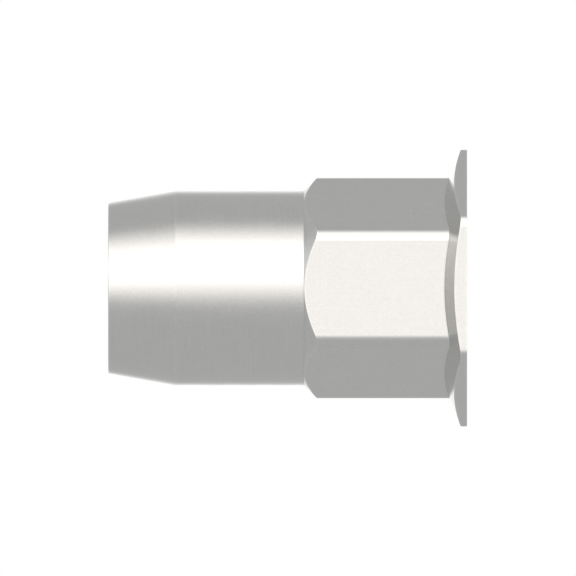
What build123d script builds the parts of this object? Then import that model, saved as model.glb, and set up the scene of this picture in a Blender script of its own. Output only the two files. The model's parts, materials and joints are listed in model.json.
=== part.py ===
from build123d import *
import math
import os

# Blind rivet nut for an M6 screw: half-hexagon body, open tail, small hexagonal head.
# Sizes are in millimetres. The head's outer face lies on the XY plane, centred on the origin,
# and the axis runs up +Z to the tail. Corners of both hexagons point along X, flats face Y.

# Thread, as its nominal size. The bore is left at the tapping size.
THREAD_DIAMETER = 6.0
THREAD_PITCH = 1.0

# Lengths along the axis. The first two start at the head's outer face, the taper ends at the tail,
# and the chamber runs past the hexagon by its overrun.
OVERALL_LENGTH = 16.55
HEXAGON_LENGTH = 7.53
TAPER_LENGTH = 3.1
CHAMBER_OVERRUN = 0.45

# Sections, each built outwards from the screw. The wall and the overhang are those at the flats.
SCREW_CLEARANCE = 0.5
CHAMBER_WALL = 1.0
HEAD_OVERHANG = 1.125
BARREL_RELIEF = 0.02

# Corners, the head's thickness at its corners, and the turned cones. Seat and shoulder angles are
# measured from a plane square to the axis, and the taper's from the axis.
BODY_CORNER_RADIUS = 0.75
HEAD_CORNER_RADIUS = 0.72
HEAD_RIM = 0.3
SEAT_ANGLE = 21.5
SHOULDER_ANGLE = 45.0
TAPER_ANGLE = 10.0

# Countersinks of the bore. The oversize is how much wider than the thread the tail's opens.
MOUTH_CHAMFER = 0.2
CHAMBER_FLOOR_ANGLE = 120.0
TAIL_COUNTERSINK_OVERSIZE = 0.2
TAIL_COUNTERSINK_ANGLE = 90.0

# Sizes that follow from those above.
TAPPED_RADIUS = (THREAD_DIAMETER - THREAD_PITCH) / 2
CHAMBER_RADIUS = THREAD_DIAMETER / 2 + SCREW_CLEARANCE
BODY_FLAT_RADIUS = CHAMBER_RADIUS + CHAMBER_WALL
HEAD_FLAT_RADIUS = BODY_FLAT_RADIUS + HEAD_OVERHANG
BARREL_RADIUS = BODY_FLAT_RADIUS - BARREL_RELIEF
TAIL_RADIUS = BARREL_RADIUS - TAPER_LENGTH * math.tan(math.radians(TAPER_ANGLE))
TAIL_COUNTERSINK_RADIUS = (THREAD_DIAMETER + TAIL_COUNTERSINK_OVERSIZE) / 2
CHAMBER_DEPTH = HEXAGON_LENGTH + CHAMBER_OVERRUN


def corner_reach(flat_radius, corner_radius):
    """Radius of the circle that a hexagon's rounded corners touch."""
    return (flat_radius - corner_radius) / math.cos(math.radians(30)) + corner_radius


def rounded_hexagon(flat_radius, corner_radius):
    """Hexagonal section with its corners on the X axis, rounded by the forming die."""
    sharp = RegularPolygon(flat_radius, 6, major_radius=False)
    return fillet(sharp.vertices(), corner_radius)


def turned(*outline):
    """Solid of revolution about Z from an outline of (radius, height) points."""
    return revolve(Plane.XZ * make_face(Polyline(*outline, close=True)), Axis.Z)


def cone(slope_angle, radius, height):
    """Solid cone on the XY plane, its side at slope_angle to that plane through (radius, height)."""
    slope = math.tan(math.radians(slope_angle))
    foot = radius + height / slope
    return turned((0, 0), (foot, 0), (0, foot * slope))


def head():
    """Hexagonal head whose underside is a shallow cone, the seat on the sheet."""
    reach = corner_reach(HEAD_FLAT_RADIUS, HEAD_CORNER_RADIUS)
    seat = cone(SEAT_ANGLE, reach, HEAD_RIM)
    blank = extrude(rounded_hexagon(HEAD_FLAT_RADIUS, HEAD_CORNER_RADIUS), HEXAGON_LENGTH)
    return blank & seat


def hexagon_body():
    """Hexagonal shank that locks the nut in the sheet, its far corners turned off to the barrel."""
    shoulder = cone(SHOULDER_ANGLE, BARREL_RADIUS, HEXAGON_LENGTH)
    blank = extrude(rounded_hexagon(BODY_FLAT_RADIUS, BODY_CORNER_RADIUS), HEXAGON_LENGTH)
    return blank & shoulder


def barrel():
    """Round shank that carries the thread, tapered at the tail to find the hole."""
    taper_start = OVERALL_LENGTH - TAPER_LENGTH
    return turned(
        (0, 0),
        (BARREL_RADIUS, 0),
        (BARREL_RADIUS, taper_start),
        (TAIL_RADIUS, OVERALL_LENGTH),
        (0, OVERALL_LENGTH),
    )


def bore():
    """Everything the screw passes: countersunk mouth, plain chamber, tapped hole and open tail."""
    chamber_floor = math.tan(math.radians(CHAMBER_FLOOR_ANGLE / 2))
    tail_flare = math.tan(math.radians(TAIL_COUNTERSINK_ANGLE / 2))
    thread_start = CHAMBER_DEPTH + (CHAMBER_RADIUS - TAPPED_RADIUS) / chamber_floor
    thread_end = OVERALL_LENGTH - (TAIL_COUNTERSINK_RADIUS - TAPPED_RADIUS) / tail_flare
    return turned(
        (0, 0),
        (CHAMBER_RADIUS + MOUTH_CHAMFER, 0),
        (CHAMBER_RADIUS, MOUTH_CHAMFER),
        (CHAMBER_RADIUS, CHAMBER_DEPTH),
        (TAPPED_RADIUS, thread_start),
        (TAPPED_RADIUS, thread_end),
        (TAIL_COUNTERSINK_RADIUS, OVERALL_LENGTH),
        (0, OVERALL_LENGTH),
    )


rivet_nut = head() + hexagon_body() + barrel() - bore()

os.makedirs("parts", exist_ok=True)
export_step(rivet_nut, "parts/rivet_nut.step")
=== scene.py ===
import json
import math

import bpy
import numpy as np
from mathutils import Matrix, Vector


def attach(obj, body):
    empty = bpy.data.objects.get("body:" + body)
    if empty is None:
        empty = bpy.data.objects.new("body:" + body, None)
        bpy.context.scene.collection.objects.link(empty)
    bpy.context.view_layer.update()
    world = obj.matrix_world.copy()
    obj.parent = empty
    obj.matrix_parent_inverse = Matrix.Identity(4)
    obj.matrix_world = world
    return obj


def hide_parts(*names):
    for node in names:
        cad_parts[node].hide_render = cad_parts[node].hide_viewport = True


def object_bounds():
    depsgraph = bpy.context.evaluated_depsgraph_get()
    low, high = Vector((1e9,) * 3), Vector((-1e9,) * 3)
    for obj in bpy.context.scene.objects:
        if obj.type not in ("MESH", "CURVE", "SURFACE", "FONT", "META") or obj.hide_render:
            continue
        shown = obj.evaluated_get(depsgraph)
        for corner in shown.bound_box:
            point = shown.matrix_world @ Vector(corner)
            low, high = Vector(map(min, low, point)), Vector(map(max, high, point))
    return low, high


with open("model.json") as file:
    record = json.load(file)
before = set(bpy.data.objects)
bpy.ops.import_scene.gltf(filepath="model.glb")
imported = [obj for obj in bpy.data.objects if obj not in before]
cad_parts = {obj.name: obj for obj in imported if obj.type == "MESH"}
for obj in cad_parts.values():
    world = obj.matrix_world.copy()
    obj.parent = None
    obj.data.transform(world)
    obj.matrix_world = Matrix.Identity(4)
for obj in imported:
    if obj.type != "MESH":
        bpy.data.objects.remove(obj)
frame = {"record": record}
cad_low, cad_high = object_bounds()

# The camera looks square at two flats, from the side. It is turned a quarter turn, so that the nut,
# which stands on its head, shows with its axis level, its head to the right and its tail to the left.
MM = 0.001
view_width = 26.555 * MM
camera_distance = 150 * MM
aim_height = cad_high.z / 2 - 0.016 * MM
aim_aside = 0.005 * MM

camera = bpy.data.objects.new("side_camera", bpy.data.cameras.new("side_camera"))
camera.data.type = "ORTHO"
camera.data.ortho_scale = view_width
camera.data.clip_start = 1 * MM
camera.data.clip_end = 2.0
camera.matrix_world = Matrix((
    (0, 1, 0, aim_aside),
    (0, 0, -1, -camera_distance),
    (-1, 0, 0, aim_height),
    (0, 0, 0, 1),
))
bpy.context.scene.collection.objects.link(camera)
bpy.context.scene.camera = camera


# The nut's form. It is one piece of steel: headed cold, drawn to a hexagon over the locking part of
# the shank, turned to the barrel and its tapered tail, then bored from the head and tapped M6.
mounts = {mount["name"]: mount for mount in frame["record"]["mounts"]}


def round_wall(name):
    """Radius, lowest height and highest height of a round mount, in metres."""
    mount = mounts[name]
    middle, half = mount["pos_m"][2], mount["dims"]["length_mm"] * MM / 2
    return mount["dims"]["r_mm"] * MM, middle - half, middle + half


barrel_radius, shoulder, taper_start = round_wall("barrel")
chamber_radius, mouth_depth, chamber_depth = round_wall("chamber")
tapped_radius, thread_start, thread_end = round_wall("thread")
nut_length, head_flat, head_reach = cad_high.z, cad_high.y, cad_high.x

body_flat = 4.5 * MM
body_corner = 0.75 * MM
head_corner = 0.72 * MM
head_rim = 0.3 * MM
seat_height = mounts["panel_seat"]["pos_m"][2]
seat_slope = (seat_height - head_rim) / (head_reach - body_flat)
taper_angle = math.radians(10)
tail_radius = barrel_radius - (nut_length - taper_start) * math.tan(taper_angle)
sink_radius = tapped_radius + (nut_length - thread_end)
mouth_radius = chamber_radius + mouth_depth

# The mesh runs in columns, lengthwise, and rows, which go round. Columns stand closer at the corners.
sixth = math.radians(60)
corner_steps = 12
flat_steps = 14
turn_margin = 1e-6


def corner_turns(flat, corner):
    """Angles from a hexagon's corner that divide its rounding evenly. A flat starts at the last."""
    lean = np.linspace(-sixth / 2, sixth / 2, corner_steps + 1)
    centre = (flat - corner) / math.cos(sixth / 2)
    return np.arctan2(corner * np.sin(lean), centre + corner * np.cos(lean))


body_turns = corner_turns(body_flat, body_corner)
head_turns = corner_turns(head_flat, head_corner)
flat_turns = np.linspace(-sixth / 2, body_turns[0], flat_steps + 1)[:-1]
one_corner = np.concatenate([flat_turns, body_turns, head_turns[1:-1], -flat_turns[1:]])
one_corner = np.unique(np.round(one_corner, 9))
turns = np.tile(one_corner, 6)
corners_at = np.repeat(np.arange(6) * sixth, len(one_corner))
angles = turns + corners_at
columns = len(angles)
around = np.stack([np.cos(angles), np.sin(angles)], 1)


def hexagon(flat, corner):
    """Distance from the axis to a rounded hexagon, and the way its side faces, at every column."""
    centre = (flat - corner) / math.cos(sixth / 2)
    on_corner = np.abs(turns) <= corner_turns(flat, corner)[-1] + turn_margin
    half_chord = np.sqrt(np.maximum(corner ** 2 - (centre * np.sin(turns)) ** 2, 0))
    corner_reach = centre * np.cos(turns) + half_chord
    reach = np.where(on_corner, corner_reach, flat / np.cos(sixth / 2 - np.abs(turns)))
    lean = np.arctan2(reach * np.sin(turns), reach * np.cos(turns) - centre)
    return reach, corners_at + np.where(on_corner, lean, np.sign(turns) * sixth / 2)


def facing(angle, slope):
    """Normals that point along an angle about the axis and rise by a slope."""
    angle, slope = np.broadcast_arrays(angle, slope)
    level = np.cos(slope)
    return np.stack([level * np.cos(angle), level * np.sin(angle), np.sin(slope)], 1)


def outline(radius, height):
    """A point of the nut's outline at every column, as (radius, height)."""
    return np.stack(np.broadcast_arrays(radius, height + np.zeros(columns)), 1)


# Each bend of the outline, from the chamber's floor out of the mouth, over the head, up the outside
# and into the tail: its place, how round it is, and how much it is rubbed. A hollow is below zero,
# which colours it a little darker and rougher.
sharp_ease = 0.035 * MM
hollow_ease = 0.04 * MM
body_reach, body_facing = hexagon(body_flat, body_corner)
head_side, head_facing = hexagon(head_flat, head_corner)
bends = [
    (outline(chamber_radius, chamber_depth), hollow_ease, 0.0),
    (outline(chamber_radius, mouth_depth), sharp_ease, 0.3),
    (outline(mouth_radius, 0.0), sharp_ease, 0.8),
    (outline(head_side, 0.0), sharp_ease, 1.0),
    (outline(head_side, head_rim + (head_reach - head_side) * seat_slope), sharp_ease, 1.0),
    (outline(body_reach, head_rim + (head_reach - body_reach) * seat_slope), hollow_ease, -1.0),
    (outline(body_reach, shoulder + barrel_radius - body_reach), sharp_ease, 1.0),
    (outline(barrel_radius, shoulder), hollow_ease, -1.0),
    (outline(barrel_radius, taper_start), sharp_ease, 0.5),
    (outline(tail_radius, nut_length), sharp_ease, 1.0),
    (outline(sink_radius, nut_length), sharp_ease, 0.8),
]
floor_top = outline(tapped_radius, thread_start)
sink_foot = outline(tapped_radius, thread_end)

# What lies before each bend and after the last one: its normals, and which finish it has.
BORED, FORMED, TURNED, DRAWN, TAPPED = range(5)
quarter = math.pi / 2
eighth = math.pi / 4
inward = angles + math.pi
floor_slope = math.atan2(chamber_radius - tapped_radius, thread_start - chamber_depth)
stretches = [
    (facing(inward, -floor_slope), BORED),
    (facing(inward, 0.0), BORED),
    (facing(inward, -eighth), TURNED),
    (facing(angles, -quarter), FORMED),
    (facing(head_facing, 0.0), FORMED),
    (facing(angles, math.atan2(1, seat_slope)), TURNED),
    (facing(body_facing, 0.0), DRAWN),
    (facing(angles, eighth), TURNED),
    (facing(angles, 0.0), TURNED),
    (facing(angles, taper_angle), TURNED),
    (facing(angles, quarter), TURNED),
    (facing(inward, eighth), TURNED),
]

# A rounding, and the guard point past it, take no more than these shares of a stretch, so that those
# at its two ends stay apart.
rubbed_width = 0.12 * MM
ease_limit = 0.45
guard_limit = 0.48


def eased(before, corner, after, radius, ease_steps=4):
    """Rounds a corner off between two guard points, where the straight stretches on each side end.
    Gives the guards, and points on the rounding with how far round each is, from 0 to 1."""
    back, on = before - corner, after - corner
    back_length = np.linalg.norm(back, axis=-1, keepdims=True)
    on_length = np.linalg.norm(on, axis=-1, keepdims=True)
    back, on = back / back_length, on / on_length
    between = np.sum(back * on, axis=-1, keepdims=True)
    half_turn = (math.pi - np.arccos(np.clip(between, -1, 1))) / 2
    reach = np.minimum(radius * np.tan(half_turn), ease_limit * np.minimum(back_length, on_length))
    start, end = corner + back * reach, corner + on * reach
    points = []
    for share in np.linspace(0, 1, ease_steps + 1):
        point = (1 - share) ** 2 * start + 2 * share * (1 - share) * corner + share ** 2 * end
        points.append((point, share))
    guard_back = corner + back * np.minimum(rubbed_width, guard_limit * back_length)
    guard_on = corner + on * np.minimum(rubbed_width, guard_limit * on_length)
    return guard_back, points, guard_on


# The rows: an outline, its normals, how much it is rubbed, and the finish between it and the next.
rows = []
path = [floor_top] + [corner for corner, _, _ in bends] + [sink_foot]
for i, (corner, radius, rubbed) in enumerate(bends):
    guard_back, points, guard_on = eased(path[i], corner, path[i + 2], radius)
    (normals_before, finish_before), (normals_after, finish_after) = stretches[i], stretches[i + 1]
    rows.append((guard_back, normals_before, 0.0, finish_before))
    for point, share in points:
        normals = (1 - share) * normals_before + share * normals_after
        rows.append((point, normals, rubbed, finish_before if share < 0.5 else finish_after))
    rows.append((guard_on, normals_after, 0.0, finish_after))

positions = [np.column_stack([around * row[:, :1], row[:, 1]]) for row, _, _, _ in rows]
directions = [normals for _, normals, _, _ in rows]
wear = [np.full(columns, rubbed) for _, _, rubbed, _ in rows]
travel = [0.0]
for (row, _, _, _), (next_row, _, _, _) in zip(rows, rows[1:]):
    travel.append(travel[-1] + float(np.mean(np.linalg.norm(next_row - row, axis=1))))

# A face is its corners, its finish, and where each corner lies on the flat layout of the surface:
# how far round the nut it is, and how far along the outline.
faces = []
last_row = len(rows) - 1
for row in range(last_row):
    for column in range(columns):
        beside = (column + 1) % columns
        corners = (row * columns + column, row * columns + beside,
                   (row + 1) * columns + beside, (row + 1) * columns + column)
        layout = [(column, travel[row]), (column + 1, travel[row]),
                  (column + 1, travel[row + 1]), (column, travel[row + 1])]
        faces.append((corners, rows[row][3], layout))


# The M6 x 1 thread, one start, right-handed. Its rows climb with the helix, so every crest and root
# is a true edge of the mesh, and it runs out in the chamber's floor and in the tail's countersink.
thread_pitch = 1.0 * MM
root_radius = 3.0 * MM
root_width = thread_pitch / 8
crest_ease = 0.05 * MM
flank_width = (root_radius - tapped_radius) * math.tan(math.radians(30))
crest_width = thread_pitch - 2 * flank_width - root_width
ridge = np.array([
    (0, tapped_radius),
    (crest_width, tapped_radius),
    (crest_width + flank_width, root_radius),
    (crest_width + flank_width + root_width, root_radius),
])

# The ridge's corners are rounded. The one before the first is a turn below, and the one after the last
# is a turn above.
one_turn = np.array([thread_pitch, 0])
ridge_corners = []
for i, corner in enumerate(ridge):
    before = ridge[i - 1] - one_turn * (i == 0)
    after = ridge[(i + 1) % 4] + one_turn * (i == 3)
    slope_before = math.atan2(corner[1] - before[1], corner[0] - before[0])
    slope_after = math.atan2(after[1] - corner[1], after[0] - corner[0])
    _, points, _ = eased(before, corner, after, crest_ease, ease_steps=3)
    ridge_corners.append([
        (point, (1 - share) * slope_before + share * slope_after) for point, share in points])

# A row is a point between two others, a share of the way along, with its slope and how much it is
# rubbed: crests are, and roots are coloured a little darker and rougher. A row on a rounding is between
# a point and itself.
one_pitch = []
for i, corner in enumerate(ridge_corners):
    rubbed = 1.0 if i < 2 else -0.6
    one_pitch += [(*point, *point, 0.5, slope, rubbed) for point, slope in corner]
    start, slope = corner[-1]
    end = ridge_corners[(i + 1) % 4][0][0] + one_turn * (i == 3)
    if start[1] == end[1]:
        one_pitch.append((*start, *end, 0.5, slope, rubbed))
    else:
        one_pitch += [(*start, *end, share, slope, 0.0) for share in (0.25, 0.5, 0.75)]

# Every row of every turn, at every column.
lowest, highest = float(rows[0][0][0, 1]), float(rows[last_row][0][0, 1])
pitches = math.ceil((highest - lowest) / thread_pitch) + 2
steps = len(one_pitch)
climb = (angles - angles[0]) / (2 * math.pi) * thread_pitch
turn_heights = lowest + np.repeat(np.arange(-2, pitches - 2) * thread_pitch, steps)[:, None] + climb
start_height, start_radius, end_height, end_radius, share, slope, thread_wear = (
    np.tile(values, pitches)[:, None] + 0 * turn_heights for values in np.transpose(one_pitch))
start_height, end_height = start_height + turn_heights, end_height + turn_heights


def run_outs(heights):
    """Radii of the cones that the thread runs out in: the chamber's floor and the countersink."""
    floor_cone = tapped_radius + (thread_start - heights) * math.tan(floor_slope)
    return floor_cone, tapped_radius + (heights - thread_end)


# Where a cone cuts across the thread, the middle row moves to the cut, so that its edge is true. It
# stays a little clear of its neighbours.
least_share = 0.04
start_gap = start_radius - np.maximum(*run_outs(start_height))
end_gap = end_radius - np.maximum(*run_outs(end_height))
cut = np.full_like(start_gap, 0.5)
np.divide(start_gap, start_gap - end_gap, out=cut, where=start_gap * end_gap < 0)
cut = np.clip(cut, least_share, 1 - least_share)
share = np.where(share > 0.5, 1 - 2 * (1 - share) * (1 - cut), 2 * share * cut)
heights = start_height + (end_height - start_height) * share
ridge_radius = start_radius + (end_radius - start_radius) * share

floor_cone, sink_cone = run_outs(heights)
thread_radius = np.maximum(ridge_radius, np.maximum(floor_cone, sink_cone))

# The normals are the thread's own, apart from those on the cones, past the cut.
cut_margin = 1e-4 * MM
lead = thread_pitch / (2 * math.pi)
across = np.stack([-np.cos(slope), -np.sin(slope) * lead / thread_radius, np.sin(slope)], 2)
past_cut = ridge_radius + cut_margin
across[floor_cone > past_cut] = (-math.cos(floor_slope), 0, -math.sin(floor_slope))
across[sink_cone > past_cut] = (-math.cos(eighth), 0, math.sin(eighth))
thread_wear[np.maximum(floor_cone, sink_cone) > past_cut] = 0

# Rows that climb past either end of the thread close up on the floor's rim or the countersink's.
closeness = 0.008 * MM
inside = (heights > lowest + closeness) & (heights < highest - closeness)
ring = np.arange(columns)
numbers = np.where(heights <= (lowest + highest) / 2, ring, last_row * columns + ring)
numbers[inside] = len(rows) * columns + np.arange(int(inside.sum()))
lap = np.vstack([numbers[steps:, :1], np.full((steps, 1), last_row * columns)])
numbers = np.hstack([numbers, lap])
layout_heights = np.clip(np.hstack([heights, heights[:, :1] + thread_pitch]), lowest, highest)

cosine, sine = around[:, 0], around[:, 1]
thread_positions = np.stack([cosine * thread_radius, sine * thread_radius, heights], 2)
thread_directions = np.stack([
    across[:, :, 0] * cosine - across[:, :, 1] * sine,
    across[:, :, 0] * sine + across[:, :, 1] * cosine,
    across[:, :, 2],
], 2)
positions.append(thread_positions[inside])
directions.append(thread_directions[inside])
wear.append(thread_wear[inside])

flank_stretch = 1.45
whole_travel = travel[-1] + (highest - lowest) * flank_stretch
thread_travel = travel[-1] + (highest - layout_heights) * flank_stretch
for row in range(len(heights) - 1):
    for column in range(columns):
        corners, layout = [], []
        for r, c in ((row, column), (row + 1, column), (row + 1, column + 1), (row, column + 1)):
            if numbers[r, c] not in corners:
                corners.append(int(numbers[r, c]))
                layout.append((c, thread_travel[r, c]))
        if len(corners) > 2:
            faces.append((corners, TAPPED, layout))

positions, directions, wear = np.vstack(positions), np.vstack(directions), np.concatenate(wear)
directions /= np.linalg.norm(directions, axis=1, keepdims=True)

nut_mesh = bpy.data.meshes.new("finished_nut")
nut_mesh.from_pydata(positions.tolist(), [], [corners for corners, _, _ in faces])
nut_mesh.polygons.foreach_set("material_index", [finish for _, finish, _ in faces])
nut_mesh.attributes.new("wear", "FLOAT", "POINT").data.foreach_set("value", wear)
angle_shares = np.append(angles - angles[0], 2 * math.pi) / (2 * math.pi)
flat_layout = nut_mesh.uv_layers.new(name="OFBake")
flat_layout.uv.foreach_set("vector", [
    value for _, _, layout in faces for column, distance in layout
    for value in (angle_shares[column], distance / whole_travel)])
nut_mesh.shade_smooth()

# Faces shade smoothly into each other, apart from the creases where the thread runs out. There a
# corner's normal is too far from its face's, and gives way to it.
crease_limit = 0.8
face_sides = [len(corners) for corners, _, _ in faces]
face_directions = np.empty(3 * len(faces), np.float32)
nut_mesh.polygon_normals.foreach_get("vector", face_directions)
face_directions = np.repeat(face_directions.reshape(-1, 3), face_sides, axis=0)
corner_directions = directions[np.concatenate([corners for corners, _, _ in faces])]
creased = np.sum(corner_directions * face_directions, axis=1) < crease_limit
corner_directions[creased] = face_directions[creased]
nut_mesh.normals_split_custom_set(corner_directions.tolist())
nut = bpy.data.objects.new("finished_nut", nut_mesh)
bpy.context.scene.collection.objects.link(nut)
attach(nut, "root")
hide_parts("rivet_nut")


# The nut's finish: bright zinc on steel, satin, with the marks of each tool under it. What several
# of the five finishes share are node groups, each with its own sizes where it is used.
def place(tree, kind, inputs=None, **settings):
    """Adds a node to a tree. Inputs are sockets or values, by the name or number of the input."""
    node = tree.nodes.new("ShaderNode" + kind)
    for name, value in settings.items():
        setattr(node, name, value)
    for name, value in (inputs or {}).items():
        if isinstance(value, bpy.types.NodeSocket):
            tree.links.new(value, node.inputs[name])
        else:
            node.inputs[name].default_value = value
    return node


def reckon(tree, operation, *values):
    """The result of a Math node that takes sockets and numbers."""
    return place(tree, "Math", dict(enumerate(values)), operation=operation).outputs[0]


def noise(tree, vector, detail):
    """Smooth noise over a vector, about one patch to a unit, from 0 to 1."""
    inputs = {"Vector": vector, "Scale": 1.0, "Detail": detail, "Roughness": 0.6}
    return place(tree, "TexNoise", inputs).outputs[0]


def scaled(tree, vector, size):
    """A vector in metres divided by a size, which is a socket."""
    share = reckon(tree, "DIVIDE", 1.0, size)
    return place(tree, "VectorMath", {0: vector, "Scale": share}, operation="SCALE").outputs[0]


def effect(name, inputs, outputs):
    """Starts a node group. Gives its tree, the sockets that come in, and the ones that go out."""
    tree = bpy.data.node_groups.new(name, "ShaderNodeTree")
    for label, value in inputs.items():
        kind = "NodeSocketFloat" if isinstance(value, float) else "NodeSocketColor"
        tree.interface.new_socket(label, in_out="INPUT", socket_type=kind).default_value = value
    for label in outputs:
        kind = "NodeSocketColor" if label == "Colour" else "NodeSocketFloat"
        tree.interface.new_socket(label, in_out="OUTPUT", socket_type=kind)
    return tree, tree.nodes.new("NodeGroupInput").outputs, tree.nodes.new("NodeGroupOutput").inputs


# Lines that a lathe tool leaves: rings that follow its feed, which differ a little round the nut. The
# feed also runs across faces that stand square to the axis.
feed_across = -0.5
turned_lines, given, gives = effect("turned_lines", {"Spacing": 0.07 * MM}, ["Lines"])
spot = place(turned_lines, "TexCoord").outputs["Object"]
axes = place(turned_lines, "SeparateXYZ", {0: spot}).outputs
flat_spot = place(turned_lines, "CombineXYZ", {"X": axes["X"], "Y": axes["Y"]}).outputs[0]
radius = place(turned_lines, "VectorMath", {0: flat_spot}, operation="LENGTH").outputs["Value"]
feed = reckon(turned_lines, "MULTIPLY_ADD", radius, feed_across, axes["Z"])
ring_place = place(turned_lines, "CombineXYZ", {
    "X": reckon(turned_lines, "DIVIDE", axes["X"], radius),
    "Y": reckon(turned_lines, "DIVIDE", axes["Y"], radius),
    "Z": reckon(turned_lines, "DIVIDE", feed, given["Spacing"]),
}).outputs[0]
turned_lines.links.new(noise(turned_lines, ring_place, 3.0), gives["Lines"])

# Lines that the drawing die leaves: fine, straight and lengthwise, a few millimetres long.
drawn_lines, given, gives = effect("drawn_lines", {"Spacing": 0.06 * MM, "Length": 4 * MM}, ["Lines"])
spot = place(drawn_lines, "TexCoord").outputs["Object"]
axes = place(drawn_lines, "SeparateXYZ", {0: spot}).outputs
line_place = place(drawn_lines, "CombineXYZ", {
    "X": reckon(drawn_lines, "DIVIDE", axes["X"], given["Spacing"]),
    "Y": reckon(drawn_lines, "DIVIDE", axes["Y"], given["Spacing"]),
    "Z": reckon(drawn_lines, "DIVIDE", axes["Z"], given["Length"]),
}).outputs[0]
drawn_lines.links.new(noise(drawn_lines, line_place, 2.0), gives["Lines"])

# The plating: a crystalline grain, clouds where it is thicker, and hair scratches from tumbling. The
# scratches are the straight borders of wide cells, seen only here and there.
hair_cells = 0.55
hair_width = 0.006
hair_shift = (5.0, 5.0, 5.0)
plating, given, gives = effect(
    "plating", {"Grain Size": 0.08 * MM, "Cloud Size": 1.4 * MM}, ["Grain", "Clouds", "Scratches"])
spot = place(plating, "TexCoord").outputs["Object"]
plating.links.new(noise(plating, scaled(plating, spot, given["Grain Size"]), 2.0), gives["Grain"])
cloud_place = scaled(plating, spot, given["Cloud Size"])
plating.links.new(noise(plating, cloud_place, 3.0), gives["Clouds"])
cells = {"Vector": cloud_place, "Scale": hair_cells}
border = place(plating, "TexVoronoi", cells, feature="DISTANCE_TO_EDGE").outputs["Distance"]
thin = place(plating, "MapRange", {
    0: border, "From Min": 0.0, "From Max": hair_width, "To Min": 1.0, "To Max": 0.0})
sparse_place = place(plating, "VectorMath", {0: cloud_place, 1: hair_shift}, operation="ADD")
sparse = place(plating, "MapRange", {
    0: noise(plating, sparse_place.outputs[0], 2.0), "From Min": 0.52, "From Max": 0.62})
plating.links.new(reckon(plating, "MULTIPLY", thin.outputs[0], sparse.outputs[0]), gives["Scratches"])

# Wear: corners that other nuts have rubbed in the drum. Hollows come out a little darker and rougher.
edge_wear, given, gives = effect("edge_wear", {"Patch Size": 0.35 * MM}, ["Rubbed", "Dull"])
spot = place(edge_wear, "TexCoord").outputs["Object"]
patches = noise(edge_wear, scaled(edge_wear, spot, given["Patch Size"]), 2.0)
uneven = place(edge_wear, "MapRange", {0: patches, "From Min": 0.3, "From Max": 0.62}).outputs[0]
amount = place(edge_wear, "Attribute", attribute_name="wear").outputs["Fac"]
outer = reckon(edge_wear, "MAXIMUM", amount, 0.0)
# Hollows, below zero, darken the colour a little and roughen it.
inner = reckon(edge_wear, "MAXIMUM", reckon(edge_wear, "MULTIPLY", amount, -1.0), 0.0)
edge_wear.links.new(reckon(edge_wear, "MULTIPLY", outer, uneven), gives["Rubbed"])
edge_wear.links.new(reckon(edge_wear, "MULTIPLY", inner, uneven), gives["Dull"])

# The metal's colour and roughness, with the marks in it. Each mark changes the shade and the roughness
# by its own shares, counted from its middle value.
bright_zinc = (0.70, 0.70, 0.685, 1)
satin = 0.21
tone_inputs = {"Metal": bright_zinc, "Roughness": satin, "Lines": 0.5, "Grain": 0.5,
               "Clouds": 0.5, "Scratches": 0.0, "Rubbed": 0.0, "Dull": 0.0}
metal_tone, given, gives = effect("metal_tone", tone_inputs, ["Colour", "Roughness"])
shade = 1.0
finish = given["Roughness"]
for mark, middle, in_shade, in_roughness in (
        ("Lines", 0.5, 0.05, 0.10), ("Grain", 0.5, 0.15, 0.06), ("Clouds", 0.5, 0.05, 0.14),
        ("Scratches", 0.0, 0.06, 0.05), ("Rubbed", 0.0, 0.07, -0.06), ("Dull", 0.0, -0.05, 0.08)):
    change = reckon(metal_tone, "SUBTRACT", given[mark], middle)
    shade = reckon(metal_tone, "MULTIPLY_ADD", change, in_shade, shade)
    finish = reckon(metal_tone, "MULTIPLY_ADD", change, in_roughness, finish)
coloured = place(metal_tone, "VectorMath", {0: given["Metal"], "Scale": shade}, operation="SCALE")
metal_tone.links.new(coloured.outputs[0], gives["Colour"])
metal_tone.links.new(finish, gives["Roughness"])

scratch_height = -0.4


def steel_finish(name, metal, roughness, lines, sizes, relief):
    """A finish of the plated steel. Lines is the group that makes its tool marks, with its sizes,
    and relief is how deep the marks and the grain go, together, in metres."""
    material = bpy.data.materials.new(name)
    material.use_nodes = True
    tree = material.node_tree
    marks = place(tree, "Group", node_tree=lines)
    for label, size in sizes.items():
        marks.inputs[label].default_value = size
    plate = place(tree, "Group", node_tree=plating).outputs
    worn = place(tree, "Group", node_tree=edge_wear).outputs
    tone = place(tree, "Group", node_tree=metal_tone)
    tone.inputs["Metal"].default_value = metal
    tone.inputs["Roughness"].default_value = roughness
    for socket in (marks.outputs["Lines"], plate["Grain"], plate["Clouds"], plate["Scratches"],
                   worn["Rubbed"], worn["Dull"]):
        tree.links.new(socket, tone.inputs[socket.name])
    height = reckon(tree, "ADD", plate["Grain"], marks.outputs["Lines"])
    height = reckon(tree, "MULTIPLY_ADD", plate["Scratches"], scratch_height, height)
    bump = place(tree, "Bump", {"Strength": 1.0, "Distance": relief, "Height": height})
    shader = tree.nodes["Principled BSDF"]
    shader.inputs["Metallic"].default_value = 1.0
    tree.links.new(tone.outputs["Colour"], shader.inputs["Base Color"])
    tree.links.new(tone.outputs["Roughness"], shader.inputs["Roughness"])
    tree.links.new(bump.outputs["Normal"], shader.inputs["Normal"])
    nut_mesh.materials.append(material)


# The chamber and its floor are bored out with a drill: the coarsest marks, under the thinnest zinc.
thin_zinc = (0.60, 0.595, 0.58, 1)
steel_finish("bored_steel", thin_zinc, 0.28, turned_lines, {"Spacing": 0.11 * MM}, 3e-6)

# The head's face and rim are pressed in the heading die, which leaves them smooth.
steel_finish("formed_steel", bright_zinc, satin, turned_lines, {"Spacing": 0.20 * MM}, 1.2e-6)

# The seat, shoulder, barrel, taper, tail and chamfers are turned.
steel_finish("turned_steel", bright_zinc, satin, turned_lines, {"Spacing": 0.07 * MM}, 1.5e-6)

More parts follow.
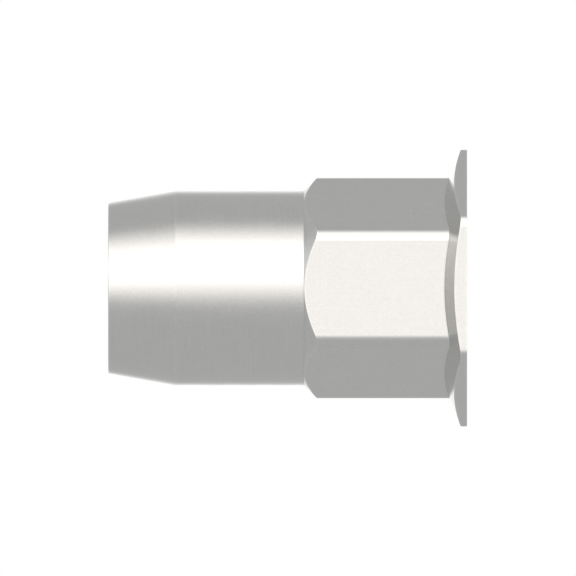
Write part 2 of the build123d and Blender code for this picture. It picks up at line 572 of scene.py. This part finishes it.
# The six flats and the corners between them are drawn through a hexagonal die.
drawn_sizes = {"Spacing": 0.06 * MM, "Length": 4 * MM}
steel_finish("drawn_steel", bright_zinc, satin, drawn_lines, drawn_sizes, 0.7e-6)

# The thread is cut by a tap, which leaves fine lines along it.
cut_zinc = (0.64, 0.635, 0.62, 1)
steel_finish("tapped_steel", cut_zinc, 0.22, turned_lines, {"Spacing": 0.045 * MM}, 0.8e-6)


# The floor: a wide sheet of matt white card, just under the nut, which takes its soft shadow. It is
# clear from below. Metal doesn't mirror it, so that the steel shows the studio down to its foot.
floor_reach = 400 * MM
floor_depth = -0.02 * MM
floor_glow = 0.28
floor_corners = [(-floor_reach, -floor_reach, floor_depth), (floor_reach, -floor_reach, floor_depth),
                 (floor_reach, floor_reach, floor_depth), (-floor_reach, floor_reach, floor_depth)]
floor_mesh = bpy.data.meshes.new("floor")
floor_mesh.from_pydata(floor_corners, [], [(0, 1, 2, 3)])
floor = bpy.data.objects.new("floor", floor_mesh)
floor.visible_glossy = False
bpy.context.scene.collection.objects.link(floor)
white_card = bpy.data.materials.new("white_card")
white_card.use_nodes = True
tree = white_card.node_tree
paint = tree.nodes["Principled BSDF"]
paint.inputs["Base Color"].default_value = (0.90, 0.90, 0.895, 1)
paint.inputs["Roughness"].default_value = 0.9
paint.inputs["Specular IOR Level"].default_value = 0.0
paint.inputs["Emission Color"].default_value = (1, 1, 1, 1)
in_view = place(tree, "LightPath").outputs["Is Camera Ray"]
tree.links.new(reckon(tree, "MULTIPLY", in_view, floor_glow), paint.inputs["Emission Strength"])
clear = place(tree, "BsdfTransparent")
below = place(tree, "NewGeometry").outputs["Backfacing"]
card = place(tree, "MixShader", {0: below, 1: paint.outputs[0], 2: clear.outputs[0]})
tree.links.new(card.outputs[0], tree.nodes["Material Output"].inputs["Surface"])
floor_mesh.materials.append(white_card)


# The studio: a pale grey room, even all round, with soft lights that are cards with feathered edges.
# The room goes on below the horizon as at it, because the floor isn't mirrored in the steel.
room_colour = (0.530, 0.530, 0.530)
studio = bpy.data.worlds.new("studio")
bpy.context.scene.world = studio
studio.use_nodes = True
sky = studio.node_tree
towards = place(sky, "TexCoord").outputs["Generated"]
level_towards = place(sky, "VectorMath", {0: towards, 1: (-1, -1, 0)}, operation="MAXIMUM").outputs[0]


def feathered_card(azimuth, height, roll, half_width, half_height, feather):
    """How much of a soft-edged card is seen in a direction. Azimuth turns from the front, -Y, to +X.
    Sizes are shares of the card's distance."""
    azimuth, height, roll = math.radians(azimuth), math.radians(height), math.radians(roll)
    face = Vector((math.sin(azimuth) * math.cos(height), -math.cos(azimuth) * math.cos(height),
                   math.sin(height)))
    level = Vector((math.cos(azimuth), math.sin(azimuth), 0))
    plumb = face.cross(level)
    side = level * math.cos(roll) + plumb * math.sin(roll)
    top = plumb * math.cos(roll) - level * math.sin(roll)
    turn = Matrix((side, top, face)).to_euler()
    local = place(sky, "Mapping", {"Vector": level_towards, "Rotation": turn}).outputs[0]
    axes = place(sky, "SeparateXYZ", {0: local}).outputs
    depth = reckon(sky, "MAXIMUM", axes["Z"], 0.001)
    seen = reckon(sky, "GREATER_THAN", axes["Z"], 0.0)
    for axis, half in (("X", half_width), ("Y", half_height)):
        offset = reckon(sky, "DIVIDE", reckon(sky, "ABSOLUTE", axes[axis]), depth)
        bounds = {"Value": offset, "From Min": half + feather, "From Max": half - feather}
        edge = place(sky, "MapRange", bounds, interpolation_type="SMOOTHSTEP")
        seen = reckon(sky, "MULTIPLY", seen, edge.outputs[0])
    return seen


def add_card(card, colour, light):
    """The light so far with that of a card added to it."""
    inputs = {0: card, 1: colour, 2: light}
    return place(sky, "VectorMath", inputs, operation="MULTIPLY_ADD").outputs[0]


# The front light stands tilted, to the right of the nut's front, and a faint spill of it lies to the
# left. A smaller light hangs high on the right. The backdrop is white to metal, and what the camera
# sees past the floor is white too.
front_light = feathered_card(31, 6, 49, 0.57, 0.72, 0.71)
spill = feathered_card(-26, 0, 0, 0.05, 1.0, 0.35)
top_light = feathered_card(52, 67, 0, 0.325, 0.325, 0.315)
backdrop = feathered_card(178, 0, 0, 0.30, 0.67, 0.36)
ray = place(sky, "LightPath").outputs
mirrored = reckon(sky, "ADD", ray["Is Glossy Ray"], ray["Is Transmission Ray"])
light = add_card(front_light, (1.59, 1.512, 1.462), room_colour)
light = add_card(spill, (0.055, 0.055, 0.055), light)
light = add_card(top_light, (0.62, 0.62, 0.62), light)
light = add_card(reckon(sky, "MULTIPLY", backdrop, mirrored), (0.77, 0.77, 0.77), light)
choice = {"Factor": ray["Is Camera Ray"], "A": light, "B": (1, 1, 1, 1)}
shown = place(sky, "Mix", choice, data_type="RGBA")
sky.links.new(shown.outputs["Result"], sky.nodes["Background"].inputs["Color"])


bpy.context.scene.view_settings.view_transform = "Standard"
